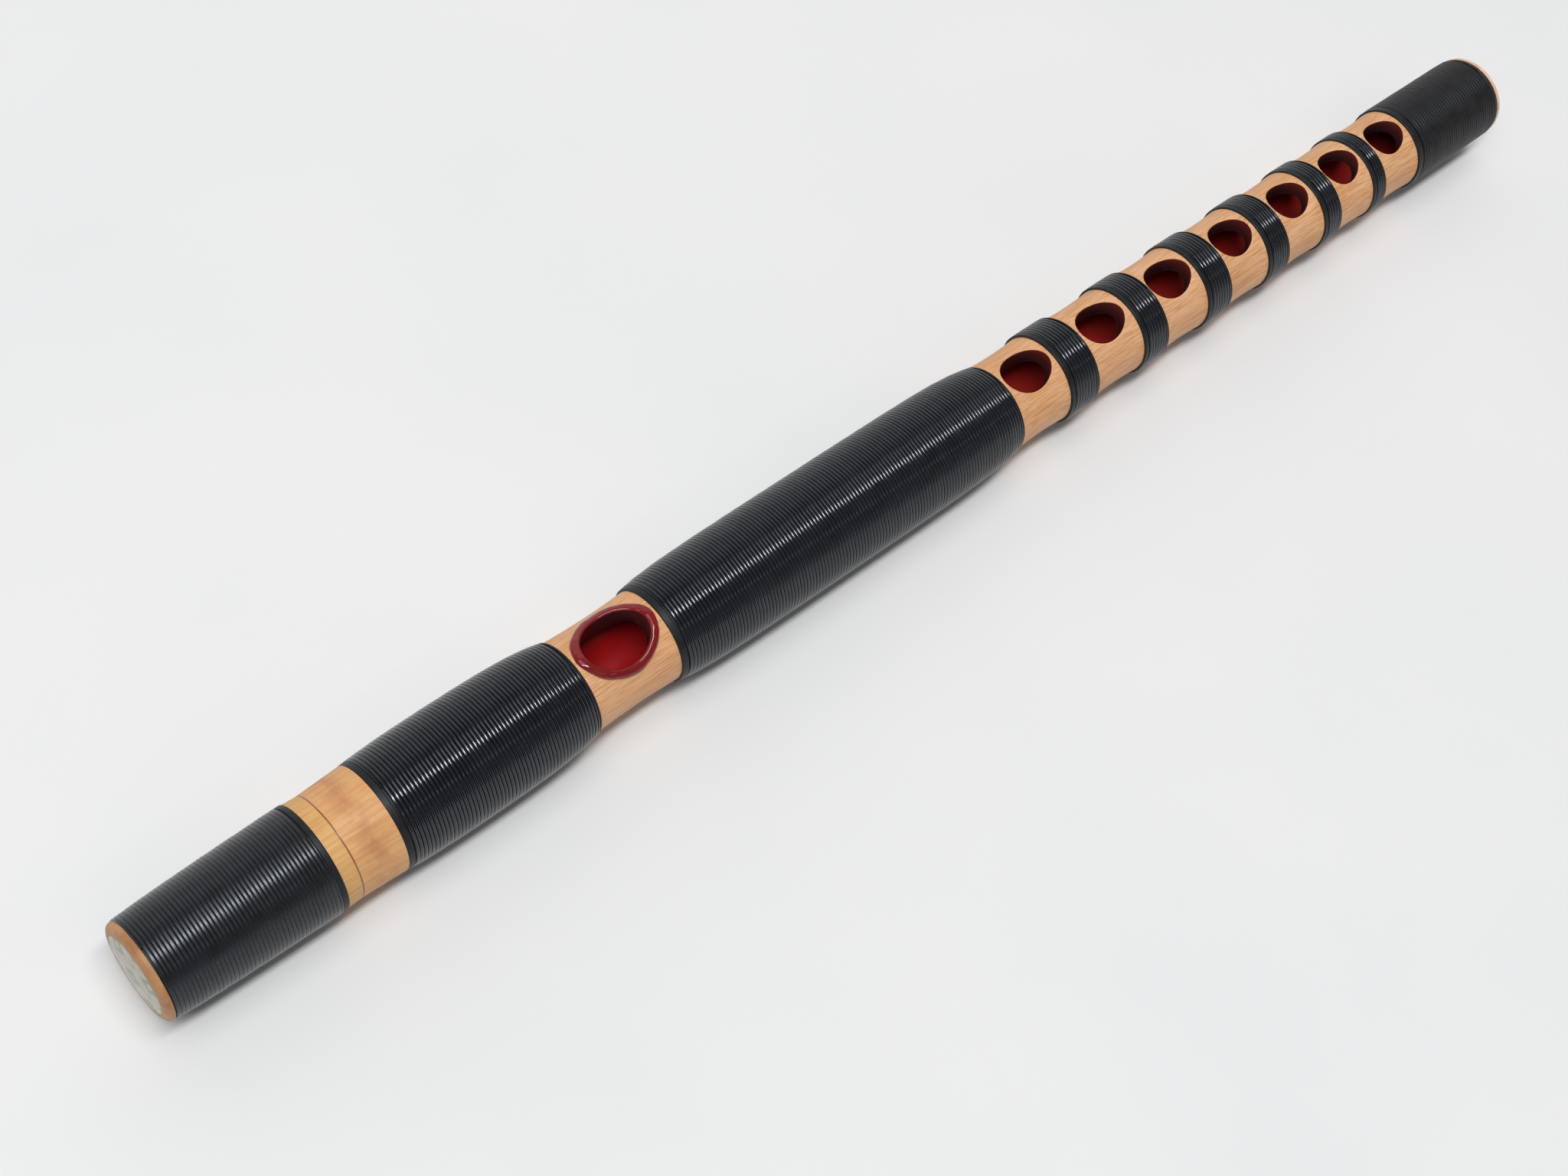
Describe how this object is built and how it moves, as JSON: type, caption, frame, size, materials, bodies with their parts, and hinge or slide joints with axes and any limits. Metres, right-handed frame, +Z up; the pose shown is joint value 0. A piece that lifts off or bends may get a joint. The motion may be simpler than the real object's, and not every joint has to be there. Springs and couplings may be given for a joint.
{
  "type": "transverse bamboo flute",
  "caption": "Side-blown bamboo flute with an oval lacquered mouth hole, a row of finger holes, black lacquered windings and a brocade-covered head end.",
  "frame": {"origin": "on the surface that the flute lies on, below the middle of its length", "axes": "+X along the flute towards its tail, +Z up out of the finger holes"},
  "size_m": [0.4, 0.026, 0.0259],
  "materials": {
    "bamboo": "scraped and oiled bamboo",
    "winding": "black lacquered thread winding",
    "lacquer": "glossy red lacquer",
    "beeswax": "beeswax",
    "lead": "dull cast lead",
    "paper": "rolled paper",
    "plug_wood": "plain softwood",
    "brocade": "woven brocade",
    "bark": "smooth bark"
  },
  "bodies": {
    "root": {"bamboo_head": "bamboo", "bamboo_body": "bamboo", "bore_lining": "lacquer", "mouth_rim": "lacquer", "hole_lining_1": "lacquer", "hole_lining_2": "lacquer", "hole_lining_3": "lacquer", "hole_lining_4": "lacquer", "hole_lining_5": "lacquer", "hole_lining_6": "lacquer", "hole_lining_7": "lacquer", "head_wrap": "winding", "throat_wrap": "winding", "middle_wrap": "winding", "band_1": "winding", "band_2": "winding", "band_3": "winding", "band_4": "winding", "band_5": "winding", "band_6": "winding", "tail_wrap": "winding", "wax_stopper": "beeswax", "lead_weight": "lead", "weight_packing": "paper", "head_plug": "plug_wood", "brocade_disc": "brocade", "semi_inlay": "bark"}
  },
  "joints": []
}
